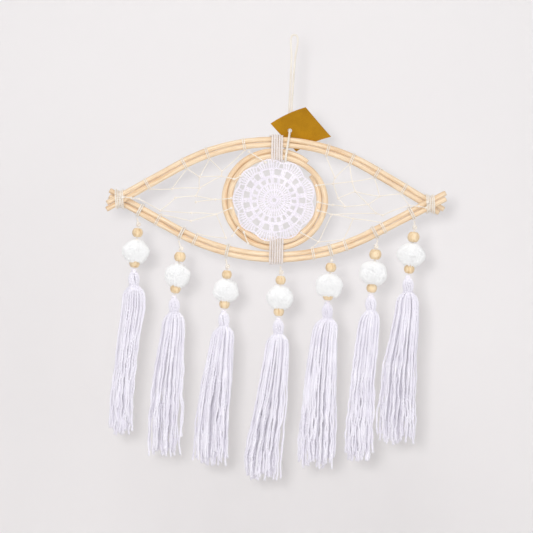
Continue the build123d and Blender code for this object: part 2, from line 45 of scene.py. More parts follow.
# ---- camera ------------------------------------------------------------------------------------
CAMERA_PLACE = (-0.0279, -1.3, -0.2305)    # metres
FOCAL_LENGTH = 87.8
SENSOR_WIDTH = 36
camera_data = bpy.data.cameras.new("camera")
camera_data.sensor_width = SENSOR_WIDTH
camera_data.lens = FOCAL_LENGTH
camera = bpy.data.objects.new("camera", camera_data)
camera.location = CAMERA_PLACE
camera.rotation_euler = (math.radians(90), 0, 0)
bpy.context.scene.collection.objects.link(camera)
bpy.context.scene.camera = camera
bpy.context.scene.view_settings.view_transform = "Standard"


# ---- mesh building -----------------------------------------------------------------------------
def curve_points(route, closed=False, resolution=16):
    """Points along the smooth NURBS line that a route's points control, in millimetres."""
    curve = bpy.data.curves.new("route", "CURVE")
    curve.dimensions = "3D"
    curve.resolution_u = resolution
    spline = curve.splines.new("NURBS")
    spline.points.add(len(route) - 1)
    for point, place in zip(spline.points, route):
        point.co = (*place, 1)
    spline.order_u = 3
    spline.use_endpoint_u = not closed
    spline.use_cyclic_u = closed
    holder = bpy.data.objects.new("route", curve)
    mesh = bpy.data.meshes.new_from_object(holder)
    points = np.array([vertex.co for vertex in mesh.vertices], float)
    bpy.data.objects.remove(holder)
    bpy.data.meshes.remove(mesh)
    bpy.data.curves.remove(curve)
    if closed:
        points = np.vstack([points, points[:1]])
    return points


def resampled(points, step):
    """The same line with evenly spaced points."""
    points = np.asarray(points, float)
    lengths = np.linalg.norm(np.diff(points, axis=0), axis=1)
    keep = np.concatenate([[True], lengths > 1e-9])
    points = points[keep]
    along = np.concatenate([[0], np.cumsum(np.linalg.norm(np.diff(points, axis=0), axis=1))])
    count = max(int(round(along[-1] / step)), 2) + 1
    places = np.linspace(0, along[-1], count)
    return np.column_stack([np.interp(places, along, points[:, i]) for i in range(3)])


def frames_along(points):
    """Unit side vectors that turn as little as possible along a line."""
    tangents = np.gradient(points, axis=0)
    tangents /= np.linalg.norm(tangents, axis=1)[:, None]
    side = np.cross(tangents[0], UP)
    if np.linalg.norm(side) < 0.2:
        side = np.cross(tangents[0], (0.0, 1.0, 0.0))
    sides = np.empty_like(points)
    for i, tangent in enumerate(tangents):
        side = side - tangent * (side @ tangent)
        side = side / math.sqrt(side @ side)
        sides[i] = side
    return sides, np.cross(tangents, sides)


class Builder:
    """Collects tubes and other faces in millimetres, then makes one mesh of them."""

    def __init__(self):
        self.points, self.quads, self.triangles = [], [], []
        self.quad_uvs, self.triangle_uvs = [], []
        self.count = 0

    def tube(self, points, radius, sides=6, frames=None, start_u=0.0):
        """A round tube along points; radius is a number or one for each point."""
        points = np.asarray(points, float)
        first, second = frames or frames_along(points)
        total = len(points)
        radii = np.broadcast_to(np.asarray(radius, float), (total,))
        angles = np.arange(sides) * 2 * math.pi / sides
        ring = (first[:, None, :] * np.cos(angles)[None, :, None]
                + second[:, None, :] * np.sin(angles)[None, :, None])
        surface = points[:, None, :] + ring * radii[:, None, None]
        self.points.append(surface.reshape(-1, 3))
        self.points.append(points[[0, -1]])
        rows, columns = np.meshgrid(np.arange(total - 1), np.arange(sides), indexing="ij")
        following = (columns + 1) % sides
        base = self.count
        quads = np.stack([rows * sides + columns, rows * sides + following,
                          (rows + 1) * sides + following, (rows + 1) * sides + columns], -1)
        self.quads.append(base + quads.reshape(-1, 4))
        steps = np.linalg.norm(np.diff(points, axis=0), axis=1)
        along = start_u + np.concatenate([[0], np.cumsum(steps)]) * MM
        low, high = columns / sides, (columns + 1) / sides
        near, far = along[rows], along[rows + 1]
        uvs = np.stack([near, low, near, high, far, high, far, low], -1).reshape(-1, 4, 2)
        self.quad_uvs.append(uvs)
        spin = np.arange(sides)
        turn = (spin + 1) % sides
        start_cap = np.stack([np.full(sides, total * sides), turn, spin], -1)
        last = (total - 1) * sides
        end_cap = np.stack([np.full(sides, total * sides + 1), last + spin, last + turn], -1)
        for cap, place in ((start_cap, along[0]), (end_cap, along[-1])):
            self.triangles.append(base + cap)
            self.triangle_uvs.append(np.full((sides, 3, 2), place))
        self.count += total * sides + 2

    def plied(self, points, diameter, plies=2, pitch=7.0, sides=5, phase=0.0, start_u=0.0,
              fray=0.0):
        """A twisted cord: plies wound round each other along a line."""
        first, second = frames_along(points)
        steps = np.linalg.norm(np.diff(points, axis=0), axis=1)
        along = np.concatenate([[0], np.cumsum(steps)])
        share = {2: 0.26, 3: 0.28}[plies]
        ply_radius = diameter * (0.5 - share) * 1.12
        offset = np.full(len(points), diameter * share)
        if fray:
            offset = offset * (1 + fray * np.clip((along - along[-1] + 5) / 5, 0, 1) ** 2)
        for ply in range(plies):
            angle = along * 2 * math.pi / pitch + phase + ply * 2 * math.pi / plies
            out = first * np.cos(angle)[:, None] + second * np.sin(angle)[:, None]
            self.tube(points + out * offset[:, None], ply_radius, sides,
                      (first, second), start_u + ply * 0.37)

    def cord(self, route, diameter, step=0.9, **twist):
        """A twisted cord along a route's smooth line."""
        self.plied(resampled(curve_points(route), step), diameter, **twist)

    def faces(self, points, quads, triangles):
        """Any other faces."""
        self.points.append(points)
        self.quads.append(np.asarray(quads, int).reshape(-1, 4) + self.count)
        self.triangles.append(np.asarray(triangles, int).reshape(-1, 3) + self.count)
        self.quad_uvs.append(np.zeros((len(self.quads[-1]), 4, 2)))
        self.triangle_uvs.append(np.zeros((len(self.triangles[-1]), 3, 2)))
        self.count += len(points)

    def make(self, name, material, body, replaces=()):
        """The finished piece, riding on a body."""
        points = np.concatenate(self.points) * MM
        quads = np.concatenate(self.quads)
        triangles = np.concatenate(self.triangles)
        mesh = bpy.data.meshes.new(name)
        mesh.vertices.add(len(points))
        mesh.vertices.foreach_set("co", points.astype(np.float32).ravel())
        corners = np.concatenate([quads.ravel(), triangles.ravel()]).astype(np.int32)
        mesh.loops.add(len(corners))
        mesh.loops.foreach_set("vertex_index", corners)
        starts = np.concatenate([np.arange(len(quads)) * 4,
                                 len(quads) * 4 + np.arange(len(triangles)) * 3])
        mesh.polygons.add(len(starts))
        mesh.polygons.foreach_set("loop_start", starts.astype(np.int32))
        mesh.polygons.foreach_set("use_smooth", np.ones(len(starts), bool))
        layer = mesh.uv_layers.new(name="UVMap")
        uvs = np.concatenate([np.concatenate(self.quad_uvs).reshape(-1, 2),
                              np.concatenate(self.triangle_uvs).reshape(-1, 2)])
        layer.data.foreach_set("uv", uvs.astype(np.float32).ravel())
        mesh.update(calc_edges=True)
        mesh.validate()
        mesh.materials.append(material)
        piece = bpy.data.objects.new(name, mesh)
        bpy.context.scene.collection.objects.link(piece)
        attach(piece, body)
        if replaces:
            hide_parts(*replaces)
        return piece


def add_knot(builder, centre, radius, cord_diameter, axis=(0, 0, 1)):
    """A tight overhand knot, drawn as a closed trefoil of cord inside a radius."""
    axis = np.asarray(axis, float)
    axis = axis / np.linalg.norm(axis)
    side = np.cross(axis, (0.0, 1.0, 0.0))
    side /= np.linalg.norm(side)
    front = np.cross(axis, side)
    turn = np.linspace(0, 2 * math.pi, 64)
    reach = radius - cord_diameter / 2
    wide = reach * (0.68 + 0.32 * np.cos(3 * turn))
    across = wide * np.cos(2 * turn)
    deep = wide * np.sin(2 * turn)
    high = reach * 0.85 * np.sin(3 * turn)
    points = (np.asarray(centre, float) + side * across[:, None] + front * deep[:, None]
              + axis * high[:, None])
    builder.tube(points, cord_diameter / 2, 8)


def around(centre, first, second, profile):
    """Points of a flat profile placed in 3-D."""
    return [centre + first * a + second * b for a, b in profile]


# ---- materials ---------------------------------------------------------------------------------
def colour(red, green, blue):
    """A display colour, 0 to 255, as the shader's linear colour."""
    def linear(value):
        value /= 255
        return value / 12.92 if value <= 0.04045 else ((value + 0.055) / 1.055) ** 2.4
    return linear(red), linear(green), linear(blue), 1.0


def new_material(name, roughness, sheen=0.0):
    """A material with its node tree, its shader, and a node maker."""
    material = bpy.data.materials.new(name)
    material.use_nodes = True
    tree = material.node_tree
    tree.nodes.clear()
    output = tree.nodes.new("ShaderNodeOutputMaterial")
    shader = tree.nodes.new("ShaderNodeBsdfPrincipled")
    tree.links.new(shader.outputs["BSDF"], output.inputs["Surface"])
    shader.inputs["Roughness"].default_value = roughness
    shader.inputs["Specular IOR Level"].default_value = 0.25
    shader.inputs["Sheen Weight"].default_value = sheen
    shader.inputs["Sheen Roughness"].default_value = 0.5
    return material, tree, shader


def mapped(tree, source, scale):
    """Texture coordinates from a source, scaled."""
    coordinates = tree.nodes.new("ShaderNodeTexCoord")
    mapping = tree.nodes.new("ShaderNodeMapping")
    mapping.inputs["Scale"].default_value = scale
    tree.links.new(coordinates.outputs[source], mapping.inputs["Vector"])
    return mapping.outputs["Vector"]


def noise(tree, vector, scale, detail=3.0, roughness=0.55):
    """A noise texture's value."""
    node = tree.nodes.new("ShaderNodeTexNoise")
    node.inputs["Scale"].default_value = scale
    node.inputs["Detail"].default_value = detail
    node.inputs["Roughness"].default_value = roughness
    tree.links.new(vector, node.inputs["Vector"])
    return node.outputs["Fac"]


def ramp(tree, value, stops):
    """A colour ramp over a value; stops are (position, colour)."""
    node = tree.nodes.new("ShaderNodeValToRGB")
    elements = node.color_ramp.elements
    while len(elements) < len(stops):
        elements.new(0.5)
    for element, (position, tint) in zip(elements, stops):
        element.position = position
        element.color = tint
    tree.links.new(value, node.inputs["Fac"])
    return node.outputs["Color"]


def mixed(tree, factor, first, second, kind="MIX"):
    """Two colours mixed by a factor, which is a number or a socket."""
    node = tree.nodes.new("ShaderNodeMix")
    node.data_type = "RGBA"
    node.blend_type = kind
    if isinstance(factor, float):
        node.inputs["Factor"].default_value = factor
    else:
        tree.links.new(factor, node.inputs["Factor"])
    for socket, value in ((node.inputs[6], first), (node.inputs[7], second)):
        if isinstance(value, tuple):
            socket.default_value = value
        else:
            tree.links.new(value, socket)
    return node.outputs[2]


def bump(tree, shader, height, strength, distance=0.0002):
    """A bump from a height."""
    node = tree.nodes.new("ShaderNodeBump")
    node.inputs["Strength"].default_value = strength
    node.inputs["Distance"].default_value = distance
    tree.links.new(height, node.inputs["Height"])
    tree.links.new(node.outputs["Normal"], shader.inputs["Normal"])


def cotton(name, light, shade, fibre_scale=(900, 8, 8), sheen=0.2, glow=0.03):
    """Cotton: fine fibres along the ply, and a slow drift of colour.

    The glow stands for light that scatters through the fibres.
    """
    material, tree, shader = new_material(name, 0.9, sheen)
    fibres = noise(tree, mapped(tree, "UV", fibre_scale), 1.0, 4.0)
    drift = noise(tree, mapped(tree, "Object", (60, 60, 60)), 1.0, 2.0)
    fine = ramp(tree, fibres, [(0.32, shade), (0.62, light)])
    slow = ramp(tree, drift, [(0.3, shade), (0.7, light)])
    tree.links.new(mixed(tree, 0.45, fine, slow), shader.inputs["Base Color"])
    bump(tree, shader, fibres, 0.5, 0.0001)
    shader.inputs["Emission Color"].default_value = light
    shader.inputs["Emission Strength"].default_value = glow
    return material


def rattan(name):
    """Peeled cane: pale straw, fine lines of grain along it, and a few darker patches."""
    material, tree, shader = new_material(name, 0.5)
    grain = noise(tree, mapped(tree, "UV", (16, 9, 1)), 3.2, 5.0, 0.62)
    lines = noise(tree, mapped(tree, "UV", (30, 60, 1)), 1.0, 3.0, 0.6)
    blotch = noise(tree, mapped(tree, "UV", (22, 1.5, 1)), 1.0, 2.0)
    base = ramp(tree, grain, [(0.25, colour(214, 178, 148)), (0.48, colour(242, 222, 192)),
                              (0.75, colour(253, 243, 222))])
    streak = ramp(tree, lines, [(0.36, colour(222, 186, 152)), (0.5, colour(255, 255, 255))])
    patches = ramp(tree, blotch, [(0.3, colour(234, 212, 186)), (0.55, colour(255, 252, 248))])
    tinted = mixed(tree, 0.5, base, streak, "MULTIPLY")
    tree.links.new(mixed(tree, 0.7, tinted, patches, "MULTIPLY"), shader.inputs["Base Color"])
    bump(tree, shader, lines, 0.35, 0.00015)
    return material


def bead_wood(name):
    """Turned pale wood: soft uneven grain down the bead and short darker pores."""
    material, tree, shader = new_material(name, 0.55)
    grain = noise(tree, mapped(tree, "Object", (420, 420, 70)), 1.0, 4.0, 0.6)
    pores = noise(tree, mapped(tree, "Object", (2600, 2600, 350)), 1.0, 2.0)
    base = ramp(tree, grain, [(0.32, colour(219, 187, 143)), (0.5, colour(240, 216, 178)),
                              (0.7, colour(247, 228, 196))])
    flecks = ramp(tree, pores, [(0.34, colour(206, 168, 122)), (0.45, colour(255, 255, 255))])
    tree.links.new(mixed(tree, 0.45, base, flecks, "MULTIPLY"), shader.inputs["Base Color"])
    bump(tree, shader, pores, 0.2, 0.0001)
    return material


def card(name):
    """Uncoated mustard card: paper fibres and a faint mottle."""
    material, tree, shader = new_material(name, 0.8)
    mottle = noise(tree, mapped(tree, "Object", (70, 70, 70)), 1.0, 3.0)
    fibres = noise(tree, mapped(tree, "Object", (1500, 1500, 600)), 1.0, 4.0, 0.7)
    face = ramp(tree, mottle, [(0.3, colour(174, 124, 8)), (0.7, colour(190, 138, 16))])
    flecks = ramp(tree, fibres, [(0.3, colour(222, 206, 176)), (0.6, colour(255, 255, 255))])
    tree.links.new(mixed(tree, 0.6, face, flecks, "MULTIPLY"), shader.inputs["Base Color"])
    bump(tree, shader, fibres, 0.3, 0.0001)
    return material


def plain(name, tint, roughness):
    """The wall and the floor: matte paint with a very faint mottle."""
    material, tree, shader = new_material(name, roughness)
    drift = noise(tree, mapped(tree, "Object", (3, 3, 3)), 1.0, 2.0)
    darker = tuple(value * 0.985 for value in tint[:3]) + (1.0,)
    tree.links.new(ramp(tree, drift, [(0.3, darker), (0.7, tint)]), shader.inputs["Base Color"])
    return material


cane_material = rattan("peeled_cane")
bead_material = bead_wood("bead_wood")
card_material = card("mustard_card")
cord_cotton = cotton("cotton_cord", colour(248, 243, 235), colour(226, 216, 204))
lashing_cotton = cotton("lashing_cotton", colour(245, 238, 234), colour(222, 211, 206))
web_cotton = cotton("web_thread", colour(251, 245, 236), colour(229, 219, 207))
crochet_cotton = cotton("crochet_cotton", colour(252, 248, 254), colour(233, 227, 237), glow=0.05)
tassel_cotton = cotton("tassel_yarn", colour(250, 248, 254), colour(229, 225, 236))
pompom_fibre = cotton("pompom_fibre", colour(255, 255, 255), colour(252, 252, 252), (500, 3, 3),
                      0.5, 0.12)

# ---- geometry that repeats the CAD's driving dimensions ------------------------------------------
HALF_SPAN = 155.1
TILT = math.radians(0.9)
YAW = math.radians(1.1)
PAIR_PITCH = 5.4
CANE_RADIUS = 2.6
RING_CANE_RADIUS = 2.9
LOOP_GAP = 0.15            # between a cane and the cord round it


class Bow:
    """The middle line of a pair of canes: straight ends and one arc."""

    def __init__(self, side, rise, bend, yaw):
        self.side, self.rise, self.lean = side, rise, math.radians(bend)
        run = HALF_SPAN * math.tan(self.lean) - rise
        self.radius = run * math.cos(self.lean) / (1 - math.cos(self.lean))
        self.reach = self.radius * math.sin(self.lean)
        across = np.array((1.0, math.tan(yaw), -math.tan(TILT)))
        self.across = across / np.linalg.norm(across)
        self.front = np.array((math.sin(yaw), -math.cos(yaw), 0.0))
        self.up = np.cross(self.front, self.across)

    def place(self, across, outset=0.0):
        """The point, direction and outward side of the line at a distance from the middle."""
        if abs(across) <= self.reach:
            lean = math.asin(across / self.radius)
            drop = self.radius * (1 - math.cos(lean))
        else:
            lean = math.copysign(self.lean, across)
            drop = (self.radius * (1 - math.cos(self.lean))
                    + (abs(across) - self.reach) * math.tan(self.lean))
        along = self.across * math.cos(lean) - self.up * self.side * math.sin(lean)
        outward = self.across * math.sin(lean) + self.up * self.side * math.cos(lean)
        spot = EYE + self.across * across + self.up * self.side * (self.rise - drop)
        return spot + outward * outset, along, outward


upper_bow = Bow(1, 59.5, 30.0, YAW)
lower_bow = Bow(-1, 55.5, 28.0, -YAW)


def cane_tube(builder, points, radius, rng, start_u):
    """A cane with a slightly uneven surface and a few low joints along it."""
    points = resampled(points, 1.5)
    along = np.arange(len(points)) * 1.5
    wobble = sum(np.sin(along / length + rng.uniform(0, 6.3)) for length in (3.1, 7.7, 17.0))
    radii = radius * (1 + wobble * 0.012)
    place = rng.uniform(30, 80)
    while place < along[-1]:
        radii = radii + 0.16 * np.exp(-(((along - place) / 1.3) ** 2))
        place += rng.uniform(85, 140)
    radii[0] *= 0.9
    radii[-1] *= 0.9
    builder.tube(points, radii, 20, start_u=start_u)


def bent_cane(bow, outset, left_tail, right_tail, name, seed):
    """One bent cane, with the straight tails that run past the crossings."""
    rng = np.random.default_rng(seed)
    start = -(HALF_SPAN + left_tail * math.cos(bow.lean))
    end = HALF_SPAN + right_tail * math.cos(bow.lean)
    points = [bow.place(across, outset)[0] for across in np.linspace(start, end, 160)]
    builder = Builder()
    cane_tube(builder, np.array(points), CANE_RADIUS, rng, seed * 1.7)
    builder.make(name + "_grain", cane_material, "frame", [name])


bent_cane(upper_bow, PAIR_PITCH / 2, 13.0, 15.0, "upper_outer_cane", 1)
bent_cane(upper_bow, -PAIR_PITCH / 2, 16.5, 12.5, "upper_inner_cane", 2)
bent_cane(lower_bow, PAIR_PITCH / 2, 11.0, 16.0, "lower_outer_cane", 3)
bent_cane(lower_bow, -PAIR_PITCH / 2, 13.5, 18.5, "lower_inner_cane", 4)


# ---- iris ring -----------------------------------------------------------------------------------
def eased(value, low, high, first, second):
    """Eases from first to second as value goes from low to high."""
    share = min(max((value - low) / (high - low), 0), 1)
    return first + (second - first) * share * share * (3 - 2 * share)


def ring_point(turned):
    """A point of the coiled cane, by the degrees turned from its outer end."""
    radius = eased(turned, 300, 385, 50.5, 44.9)
    radius = eased(turned, 560, 620, radius, 44.4)
    depth = eased(turned, 5, 70, 2.7, 0.0)
    depth = eased(turned, 300, 350, depth, -3.3)
    depth = eased(turned, 395, 450, depth, -2.7)
    depth = eased(turned, 600, 670, depth, 2.7)
    angle = math.radians(50 + turned)
    return EYE + np.array((radius * math.cos(angle), depth,
                           2.1 + (radius - 2.1) * math.sin(angle)))


ring_builder = Builder()
ring_line = np.array([ring_point(turned) for turned in range(0, 706, 5)])
cane_tube(ring_builder, ring_line, RING_CANE_RADIUS, np.random.default_rng(5), 9.0)
ring_builder.make("iris_ring_grain", cane_material, "frame", ["iris_ring"])

# ---- lashings ------------------------------------------------------------------------------------
LASHING_FOOT = -62.2       # height of the lower lashing's underside, from the eye's middle
LASHING_CORD = 2.3
LASHING_PITCH = 2.4
TIP_CORD = 1.7


def wound(name, first_across, turns, profile, replaced, seed):
    """Cotton wound side by side round a profile given as (depth, height) from the eye."""
    rng = np.random.default_rng(seed)
    route = []
    for turn in range(turns):
        for index, (depth, height) in enumerate(profile):
            across = first_across + LASHING_PITCH * (turn + index / len(profile) - 0.5)
            across += rng.uniform(-0.12, 0.12)
            route.append(EYE + np.array((across, depth, height)))
    builder = Builder()
    builder.cord(route, LASHING_CORD, step=0.7, plies=3, pitch=5.0, sides=6)
    builder.make(name, lashing_cotton, "frame", replaced)


wound("top_lashing_cord", -3.35, 5,
      [(0.0, 66.4), (3.2, 65.6), (4.2, 62.0), (5.4, 56.0), (6.0, 50.5), (4.2, 46.0), (1.4, 41.6),
       (-2.0, 40.0), (-5.8, 40.2), (-7.6, 43.2), (-6.9, 49.0), (-5.4, 56.0), (-4.2, 62.6),
       (-2.8, 65.6)], ["top_lashing"], 11)
wound("bottom_lashing_cord", -4.2, 6,
      [(0.0, LASHING_FOOT), (-2.9, -61.6), (-4.3, -58.0), (-5.2, -51.0), (-6.6, -45.0),
       (-7.4, -39.6), (-5.4, -36.2), (-2.0, -35.6), (0.4, -36.8), (2.6, -41.0), (4.6, -46.0),
       (4.4, -52.0), (4.2, -58.0), (3.0, -61.4)], ["bottom_lashing"], 12)


def wound_tip(name, side, replaced, seed):
    """Cotton wound upright round a crossing, with a knot on its front."""
    rng = np.random.default_rng(seed)
    middle = EYE + np.array((side * HALF_SPAN, 0, -side * HALF_SPAN * math.sin(TILT)))
    route = []
    for turn in range(5):
        for index in range(10):
            angle = 2 * math.pi * index / 10 + 0.3
            across = -4.4 + 1.75 * (turn + index / 10) + rng.uniform(-0.15, 0.15)
            high = (7.6 + abs(across) * 0.55) * math.sin(angle) * 1.12
            deep = 6.9 * math.cos(angle) * 1.05
            high = max(min(high, 7.4 + abs(across) * 0.56), -7.4 - abs(across) * 0.56)
            deep = max(min(deep, 6.7), -6.7)
            route.append(middle + np.array((across, deep, high)))
    builder = Builder()
    builder.cord(route, TIP_CORD, step=0.7, plies=2, pitch=4.5, sides=6)
    add_knot(builder, middle + np.array((-side * 3.4, -7.6, 1.4)), 1.7, 1.3, (1, 0, 0.4))
    builder.make(name, web_cotton, "frame", replaced)


wound_tip("left_tip_lashing_cord", -1, ["left_tip_lashing"], 13)
wound_tip("right_tip_lashing_cord", 1, ["right_tip_lashing"], 14)


# ---- web -----------------------------------------------------------------------------------------
def pair_loop(builder, bow, across, diameter, turns, pitch):
    """Turns of cord round both canes of a pair, side by side."""
    spot, along, outward = bow.place(across)
    front = bow.front
    bend = CANE_RADIUS + LOOP_GAP + diameter / 2
    half = PAIR_PITCH / 2
    profile = [(half, bend), (half + bend * 0.72, bend * 0.72), (half + bend, 0),
               (half + bend * 0.72, -bend * 0.72), (half, -bend), (-half, -bend),
               (-half - bend * 0.72, -bend * 0.72), (-half - bend, 0),
               (-half - bend * 0.72, bend * 0.72), (-half, bend)]
    profile = [(a * 1.04, b * 1.04) for a, b in profile]
    for turn in range(turns):
        shift = along * pitch * (turn - (turns - 1) / 2)
        route = around(spot + shift, outward, front, profile)
        points = resampled(curve_points(route, closed=True), 0.8)
        builder.plied(points, diameter, plies=2, pitch=3.6, phase=across)


def loop_edge(bow, across, diameter, outwards):
    """The outer or inner end of a turn round a pair."""
    spot, along, outward = bow.place(across)
    reach = PAIR_PITCH / 2 + CANE_RADIUS + LOOP_GAP + diameter / 2
    return spot + outward * (reach * outwards)


WEB_THREAD = 1.25
WEB_HITCH = 1.2


def at(across, depth, height):
    """A point from the eye's middle."""
    return EYE + np.array((across, depth, height))


def open_knot(across, height):
    """A knot that hangs free between the canes and the ring."""
    return at(across, -1.5, height)


def ring_knot(across, height):
    """A knot beside the ring."""
    return at(across, -4.6, height)


def over_ring(across, height):
    """A point on the front of the ring."""
    return at(across, -7.9, height)


def upper_start(across):
    """Where a thread leaves its hitch on the upper pair."""
    return loop_edge(upper_bow, across, WEB_HITCH, -1)


def lower_start(across):
    """Where a thread leaves its hitch on the lower pair."""
    return loop_edge(lower_bow, across, WEB_HITCH, -1)


def build_web(name, upper_turns, lower_turns, cords, replaced, seed):
    """Thin cord hitched round the pairs and knotted to itself, never quite straight."""
    rng = np.random.default_rng(seed)
    builder = Builder()
    for across in upper_turns:
        pair_loop(builder, upper_bow, across, WEB_THREAD, 2, 1.7)
    for across in lower_turns:
        pair_loop(builder, lower_bow, across, WEB_THREAD, 2, 1.7)
    knots = {}
    for cord in cords:
        for start, end in zip(cord, cord[1:]):
            run = end - start
            length = np.linalg.norm(run)
            sag = min(0.03 * length, 0.9)
            side = np.cross(run / length, (0, 1, 0))
            lift = rng.uniform(-sag, sag)
            route = [start, start + run * 0.33 + side * lift, start + run * 0.67 + side * lift * 0.8,
                     end]
            builder.cord(route, WEB_THREAD, step=0.9, plies=2, pitch=3.6,
                         phase=rng.uniform(0, 6))
        for point in cord:
            knots[tuple(np.round(point, 2))] = point
    for point in knots.values():
        add_knot(builder, point, 1.35, 0.95, (1, rng.uniform(-0.5, 0.5), rng.uniform(-1, 1)))
    builder.make(name, web_cotton, "frame", replaced)


left_1, left_2, left_3 = open_knot(-136, 2.5), open_knot(-114.6, -9.2), open_knot(-83.6, -11.5)
left_4, left_5, left_6 = ring_knot(-58.5, -13.0), open_knot(-103, 12.5), open_knot(-75.5, 13.2)
left_7, left_8, left_9 = open_knot(-75.5, 24.3), ring_knot(-53.6, 25.0), ring_knot(-53.0, 29.8)
left_10, left_11, left_12 = open_knot(-99.6, 3.5), open_knot(-79, 5.5), ring_knot(-59.5, 1.7)
left_13, left_14, left_15 = open_knot(-79, -0.5), open_knot(-84, -19.5), open_knot(-49.1, -36.5)
build_web(
    "left_web_threads",
    (-128, -91.5, -68.5, -32),
    (-117, -79.5),
    (
        (at(-150.5, -6.9, 4.2), at(-143, -6.9, 3.2), left_1, left_2, left_3, left_4),
        (upper_start(-128), left_5, left_6, left_8),
        (left_2, left_10, left_11, left_6),
        (left_11, left_12, over_ring(-43.6, 2.9)),
        (left_13, left_12),
        (upper_start(-91.5), left_5),
        (upper_start(-91.5), left_7, left_8, over_ring(-40.5, 22.0), over_ring(-34.5, 24.5)),
        (upper_start(-68.5), left_7, left_6),
        (upper_start(-68.5), left_9, left_8),
        (upper_start(-32), left_9),
        (lower_start(-117), left_14, left_4, over_ring(-43.6, -7.0)),
        (left_4, left_15, lower_start(-79.5)),
        (over_ring(-36.5, -26.5), over_ring(-42.6, -34.6)),
        (over_ring(-31.0, -31.0), over_ring(-26.8, -42.2)),
        (over_ring(-26.0, 49.0), over_ring(-9.5, 38.5)),
    ),
    ["left_web"], 21)

right_1, right_2, right_3 = open_knot(60, 23.5), ring_knot(58, 17.5), open_knot(77, 19.8)
right_4, right_5, right_6 = open_knot(80, 10.0), open_knot(63, 3.1), open_knot(70, -5.3)
right_7, right_8, right_9 = open_knot(104.5, 5.2), open_knot(93, -3.0), open_knot(101, -11.9)
right_10, right_11, right_12 = at(133.5, -6.7, -4.3), ring_knot(56.4, -13.2), ring_knot(57.5, -3.8)
right_13, right_14, right_15 = open_knot(78, -17.4), ring_knot(43.5, -40.5), open_knot(107.5, -13.8)
build_web(
    "right_web_threads",
    (52, 76.5, 102, 129),
    (39, 71, 108.5),
    (
        (upper_start(52), right_1, right_2, right_5, right_6),
        (upper_start(76.5), right_1),
        (over_ring(41, 15.5), right_2, right_3, upper_start(102)),
        (upper_start(76.5), right_3, right_4, right_5),
        (right_4, right_7, upper_start(129)),
        (upper_start(102), right_7, right_8, right_6, right_12, over_ring(42.5, -0.9)),
        (right_4, right_8, right_9, right_15, right_10, at(143, -6.9, -5.2), at(150.5, -6.9, -6.6)),
        (upper_start(129), right_10),
        (right_11, right_9),
        (right_11, right_13, lower_start(108.5)),
        (right_11, right_14, over_ring(26, -31.5)),
        (right_14, lower_start(71), right_13),
        (right_14, lower_start(39)),
        (over_ring(42.6, -9.5), right_11),
    ),
    ["right_web"], 22)

# ---- hanging cord, its knot and its hitch --------------------------------------------------------
CORD = 2.2
knot_place = np.array((-4.4, 2.0, -84.0))
hitch_place = np.array((-4.5, 3.3, -88.6))
LEG = 1.2                  # from the middle to each leg of the doubled cord, at the knot
HITCH_CORD = 2.4
hanging_route = [
    knot_place + np.array((-LEG, 0, 2.6)),
    np.array((-1.26 - LEG, 0.6, -24.0)),
    np.array((-3.6, 0.1, -9.0)),
    np.array((-3.4, 0, CORD / 2)),
    np.array((3.4, 0, CORD / 2)),
    np.array((3.4, 0.1, -9.0)),
    np.array((-1.26 + LEG, 0.6, -24.0)),
    knot_place + np.array((LEG, 0, 2.6)),
]
hanging_line = resampled(curve_points(hanging_route, resolution=40), 0.8)
hanging_builder = Builder()
hanging_builder.plied(hanging_line, CORD, plies=3, pitch=7.0, sides=6)
hanging_piece = hanging_builder.make("hanging_cord_twisted", cord_cotton, "cord_over_hook",
                                     ["hanging_cord"])

knot_builder = Builder()
add_knot(knot_builder, knot_place, 2.5, 1.9)
knot_builder.make("hanger_knot_tied", cord_cotton, "knot_under_cord", ["hanger_knot"])

hitch_under = np.array((-9.35, 2.3, -123.9))
front_leg = [
    hitch_place, (-4.5, 3.9, -92.2), (-4.6, 1.3, -96.4), (-5.0, -2.6, -99.6),
    (-5.9, -4.8, -104.8), (-7.2, -7.9, -112.5), (-8.6, -8.4, -121.0), (-9.3, -5.4, -127.0),
    (-9.4, 0.0, -126.3), hitch_under,
]
back_leg = [
    hitch_under, (-9.3, 4.6, -121.5), (-9.2, 7.4, -114.0), (-9.0, 7.6, -104.0),
    (-7.5, 6.9, -96.5), (-5.4, 4.9, -91.4), hitch_place,
]
hitch_builder = Builder()
hitch_builder.cord(front_leg, HITCH_CORD, plies=3, pitch=7.0, sides=6)
hitch_builder.cord(back_leg, HITCH_CORD, plies=3, pitch=7.0, sides=6)
add_knot(hitch_builder, hitch_place, 2.2, 1.7)
hitch_builder.make("hanger_hitch_twisted", cord_cotton, "frame", ["hanger_hitch"])

# ---- doily ---------------------------------------------------------------------------------------
doily_centre = EYE + np.array((-1.0, -6.45, 1.0))
doily_rng = np.random.default_rng(31)
THREAD_RADIUS = 0.42
doily_builder = Builder()


def on_doily(radius, angle, lift=0.0):
    """A point of the doily by radius and degrees; lift is towards the viewer."""
    turn = np.radians(angle)
    return np.stack(np.broadcast_arrays(
        doily_centre[0] + radius * np.cos(turn), doily_centre[1] - lift,
        doily_centre[2] + radius * np.sin(turn)), -1)


def edge_radius(angle):
    """The doily's scalloped edge: nine soft points."""
    away = (angle - 178.0 + 20) % 40 - 20
    return 41.2 - 3.9 * (abs(away) / 20) ** 1.6


def stitch_post(inner, outer, inner_angle, outer_angle, width=0.55):
    """A tall stitch: two strands that cross once on the way out."""
    share = np.linspace(0, 1, 9)
    radius = inner + (outer - inner) * share
    angle = inner_angle + (outer_angle - inner_angle) * share
    for sign in (-1, 1):
        spread = sign * width * np.cos(share * math.pi * 2) / np.maximum(radius, 3) * 57.3
        doily_builder.tube(on_doily(radius, angle + spread, 0.3 * sign * np.sin(share * math.pi * 2)),
                           THREAD_RADIUS, 5)


